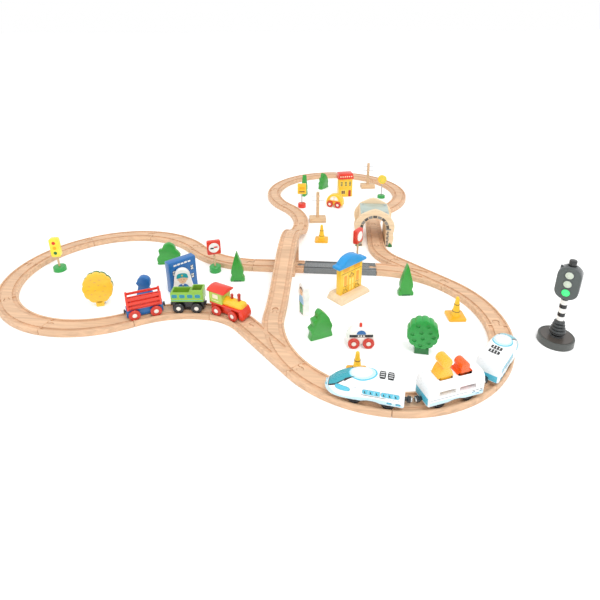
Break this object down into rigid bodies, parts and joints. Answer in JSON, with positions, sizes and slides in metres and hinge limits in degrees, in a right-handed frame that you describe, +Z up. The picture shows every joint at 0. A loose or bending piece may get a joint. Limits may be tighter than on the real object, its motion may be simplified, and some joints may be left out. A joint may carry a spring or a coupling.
{
  "type": "wooden train set",
  "caption": "Wooden toy railway: grooved track in three joined loops with a bridge and a tunnel, two trains, a signal, and loose buildings, trees, signs, cars and figures.",
  "frame": {"origin": "middle of the footprint of the whole layout, on the floor", "axes": "+Z up; +Y along the bridge, towards the loop behind the tunnel; +X towards the loop with the bullet train"},
  "size_m": [1.1304, 1.1546, 0.1575],
  "materials": {
    "beech": "sanded, unpainted beech",
    "grey_plastic": "moulded grey plastic",
    "pale_wood": "sanded, unpainted wood with printed faces",
    "green_paint": "gloss green paint on wood",
    "black_plastic": "moulded black wheels",
    "red_paint": "gloss red paint on wood",
    "red_plastic": "moulded red wheels",
    "white_plastic": "glossy moulded white plastic",
    "yellow_paint": "yellow paint on wood",
    "orange_plastic": "glossy moulded figure",
    "dark_plastic": "moulded dark plastic",
    "black_rubber": "soft black push button",
    "white_paint": "white paint and print on wood",
    "blue_paint": "blue paint on wood"
  },
  "bodies": {
    "root": {"switch_front": "beech", "right_loop_south": "beech", "right_loop_east": "beech", "switch_rear": "beech", "crossing_track": "grey_plastic", "short_straight": "beech", "west_curve_in": "beech", "west_loop_north": "beech", "west_loop_west": "beech", "west_loop_south": "beech", "west_curve_out": "beech", "west_curve_small": "beech", "bridge_ramp_front": "beech", "bridge_ramp_rear": "beech", "north_curve_in": "beech", "north_loop_west": "beech", "north_loop_north": "beech", "north_loop_east": "beech", "north_curve_small": "beech", "north_curve_out": "beech", "tunnel_straight": "beech", "bridge_pier": "beech", "tunnel": "pale_wood", "signal_post": "dark_plastic", "police_car": "white_paint", "taxi": "yellow_paint", "police_station": "blue_paint", "station_building": "yellow_paint", "shop_building": "yellow_paint", "round_tree": "green_paint", "yellow_tree": "yellow_paint", "traffic_light": "yellow_paint", "red_sign": "red_paint", "policeman": "white_paint", "standing_man": "white_paint"},
    "bullet_engine": {"bullet_engine": "white_plastic"},
    "bullet_engine_front_wheels": {"bullet_engine_front_wheels": "black_plastic"},
    "bullet_engine_rear_wheels": {"bullet_engine_rear_wheels": "black_plastic"},
    "bullet_wagon": {"bullet_wagon": "white_plastic"},
    "bullet_wagon_front_wheels": {"bullet_wagon_front_wheels": "black_plastic"},
    "bullet_wagon_rear_wheels": {"bullet_wagon_rear_wheels": "black_plastic"},
    "bullet_tail": {"bullet_tail": "white_plastic"},
    "bullet_tail_front_wheels": {"bullet_tail_front_wheels": "black_plastic"},
    "bullet_tail_rear_wheels": {"bullet_tail_rear_wheels": "black_plastic"},
    "steam_engine": {"steam_engine": "red_paint"},
    "steam_engine_front_wheels": {"steam_engine_front_wheels": "red_plastic"},
    "steam_engine_rear_wheels": {"steam_engine_rear_wheels": "red_plastic"},
    "green_wagon": {"green_wagon": "green_paint"},
    "green_wagon_front_wheels": {"green_wagon_front_wheels": "black_plastic"},
    "green_wagon_rear_wheels": {"green_wagon_rear_wheels": "black_plastic"},
    "red_wagon": {"red_wagon": "red_paint"},
    "red_wagon_front_wheels": {"red_wagon_front_wheels": "red_plastic"},
    "red_wagon_rear_wheels": {"red_wagon_rear_wheels": "red_plastic"},
    "police_car_front_wheels": {"police_car_front_wheels": "red_plastic"},
    "police_car_rear_wheels": {"police_car_rear_wheels": "red_plastic"},
    "taxi_front_wheels": {"taxi_front_wheels": "red_plastic"},
    "taxi_rear_wheels": {"taxi_rear_wheels": "red_plastic"},
    "passenger_yellow": {"passenger_yellow": "yellow_paint"},
    "passenger_orange": {"passenger_orange": "orange_plastic"},
    "signal_button": {"signal_button": "black_rubber"}
  },
  "joints": [
    {"name": "bullet_engine_roll", "type": "hinge", "parent": "root", "child": "bullet_engine", "pos_m": [0.24201, -0.35265, 0], "axis": [0, 0, -1], "range_deg": [-85, 60]},
    {"name": "bullet_engine_front_axle", "type": "hinge", "parent": "bullet_engine", "child": "bullet_engine_front_wheels", "pos_m": [0.1928, -0.54856, 0.0193], "axis": [-0.1874, -0.9823, 0], "continuous": true},
    {"name": "bullet_engine_rear_axle", "type": "hinge", "parent": "bullet_engine", "child": "bullet_engine_rear_wheels", "pos_m": [0.23884, -0.55462, 0.0193], "axis": [-0.0732, -0.9973, 0], "continuous": true},
    {"name": "bullet_wagon_roll", "type": "hinge", "parent": "root", "child": "bullet_wagon", "pos_m": [0.24201, -0.35265, 0], "axis": [0, 0, -1], "range_deg": [-85, 60]},
    {"name": "bullet_wagon_front_axle", "type": "hinge", "parent": "bullet_wagon", "child": "bullet_wagon_front_wheels", "pos_m": [0.30443, -0.54476, 0.0193], "axis": [0.3633, -0.9317, 0], "continuous": true},
    {"name": "bullet_wagon_rear_axle", "type": "hinge", "parent": "bullet_wagon", "child": "bullet_wagon_rear_wheels", "pos_m": [0.34665, -0.52543, 0.0193], "axis": [0.4679, -0.8838, 0], "continuous": true},
    {"name": "bullet_tail_roll", "type": "hinge", "parent": "root", "child": "bullet_tail", "pos_m": [0.24201, -0.35265, 0], "axis": [0, 0, -1], "range_deg": [-85, 60]},
    {"name": "bullet_tail_front_axle", "type": "hinge", "parent": "bullet_tail", "child": "bullet_tail_front_wheels", "pos_m": [0.39698, -0.48222, 0.0193], "axis": [0.8028, -0.5962, 0], "continuous": true},
    {"name": "bullet_tail_rear_axle", "type": "hinge", "parent": "bullet_tail", "child": "bullet_tail_rear_wheels", "pos_m": [0.42247, -0.44341, 0.0193], "axis": [0.866, -0.5, 0], "continuous": true},
    {"name": "steam_engine_roll", "type": "hinge", "parent": "root", "child": "steam_engine", "pos_m": [-0.09104, -0.47584, 0], "axis": [0, 0, -1], "range_deg": [-2.2, 8.6]},
    {"name": "steam_engine_front_axle", "type": "hinge", "parent": "steam_engine", "child": "steam_engine_front_wheels", "pos_m": [-0.02566, -0.37449, 0.0198], "axis": [0.4713, 0.882, 0], "continuous": true},
    {"name": "steam_engine_rear_axle", "type": "hinge", "parent": "steam_engine", "child": "steam_engine_rear_wheels", "pos_m": [-0.06187, -0.35881, 0.0198], "axis": [0.3207, 0.9472, 0], "continuous": true},
    {"name": "green_wagon_roll", "type": "hinge", "parent": "root", "child": "green_wagon", "pos_m": [-0.10025, -0.5567, 0], "axis": [0, 0, -1], "range_deg": [-1.31, 5.13]},
    {"name": "green_wagon_front_axle", "type": "hinge", "parent": "green_wagon", "child": "green_wagon_front_wheels", "pos_m": [-0.10628, -0.35479, 0.0198], "axis": [-0.073, 0.9973, 0], "continuous": true},
    {"name": "green_wagon_rear_axle", "type": "hinge", "parent": "green_wagon", "child": "green_wagon_rear_wheels", "pos_m": [-0.14092, -0.35884, 0.0198], "axis": [-0.1588, 0.9873, 0], "continuous": true},
    {"name": "red_wagon_roll", "type": "hinge", "parent": "root", "child": "red_wagon", "pos_m": [-0.10025, -0.5567, 0], "axis": [0, 0, -1], "range_deg": [-1.31, 5.13]},
    {"name": "red_wagon_front_axle", "type": "hinge", "parent": "red_wagon", "child": "red_wagon_front_wheels", "pos_m": [-0.18327, -0.37255, 0.0198], "axis": [-0.4554, 0.8903, 0], "continuous": true},
    {"name": "red_wagon_rear_axle", "type": "hinge", "parent": "red_wagon", "child": "red_wagon_rear_wheels", "pos_m": [-0.21777, -0.3924, 0.0198], "axis": [-0.5409, 0.8411, 0], "continuous": true},
    {"name": "police_car_front_axle", "type": "hinge", "parent": "root", "child": "police_car_front_wheels", "pos_m": [0.21242, -0.41153, 0.01], "axis": [-0.1219, 0.9925, 0], "continuous": true},
    {"name": "police_car_rear_axle", "type": "hinge", "parent": "root", "child": "police_car_rear_wheels", "pos_m": [0.1876, -0.41457, 0.01], "axis": [-0.1219, 0.9925, 0], "continuous": true},
    {"name": "taxi_front_axle", "type": "hinge", "parent": "root", "child": "taxi_front_wheels", "pos_m": [0.1361, 0.24829, 0.01], "axis": [0.309, 0.9511, 0], "continuous": true},
    {"name": "taxi_rear_axle", "type": "hinge", "parent": "root", "child": "taxi_rear_wheels", "pos_m": [0.11232, 0.25601, 0.01], "axis": [0.309, 0.9511, 0], "continuous": true},
    {"name": "passenger_yellow_lift", "type": "slide", "parent": "bullet_wagon", "child": "passenger_yellow", "axis": [0, 0, 1], "range_m": [0, 0.06]},
    {"name": "passenger_orange_lift", "type": "slide", "parent": "bullet_wagon", "child": "passenger_orange", "axis": [0, 0, 1], "range_m": [0, 0.06]},
    {"name": "signal_button_press", "type": "slide", "parent": "root", "child": "signal_button", "axis": [0, 0, -1], "range_m": [0, 0.002], "stiffness_N_per_m": 400}
  ],
  "couplings": [
    {"joint": "bullet_engine_front_axle", "follows": "bullet_engine_roll", "ratio": 20.2},
    {"joint": "bullet_engine_rear_axle", "follows": "bullet_engine_roll", "ratio": 20.2},
    {"joint": "bullet_wagon_roll", "follows": "bullet_engine_roll", "ratio": 1},
    {"joint": "bullet_wagon_front_axle", "follows": "bullet_engine_roll", "ratio": 20.2},
    {"joint": "bullet_wagon_rear_axle", "follows": "bullet_engine_roll", "ratio": 20.2},
    {"joint": "bullet_tail_roll", "follows": "bullet_engine_roll", "ratio": 1},
    {"joint": "bullet_tail_front_axle", "follows": "bullet_engine_roll", "ratio": 20.2},
    {"joint": "bullet_tail_rear_axle", "follows": "bullet_engine_roll", "ratio": 20.2},
    {"joint": "steam_engine_front_axle", "follows": "steam_engine_roll", "ratio": 11.487},
    {"joint": "steam_engine_rear_axle", "follows": "steam_engine_roll", "ratio": 11.487},
    {"joint": "green_wagon_roll", "follows": "steam_engine_roll", "ratio": 0.59707},
    {"joint": "green_wagon_front_axle", "follows": "steam_engine_roll", "ratio": 11.487},
    {"joint": "green_wagon_rear_axle", "follows": "steam_engine_roll", "ratio": 11.487},
    {"joint": "red_wagon_roll", "follows": "steam_engine_roll", "ratio": 0.59707},
    {"joint": "red_wagon_front_axle", "follows": "steam_engine_roll", "ratio": 11.487},
    {"joint": "red_wagon_rear_axle", "follows": "steam_engine_roll", "ratio": 11.487}
  ]
}
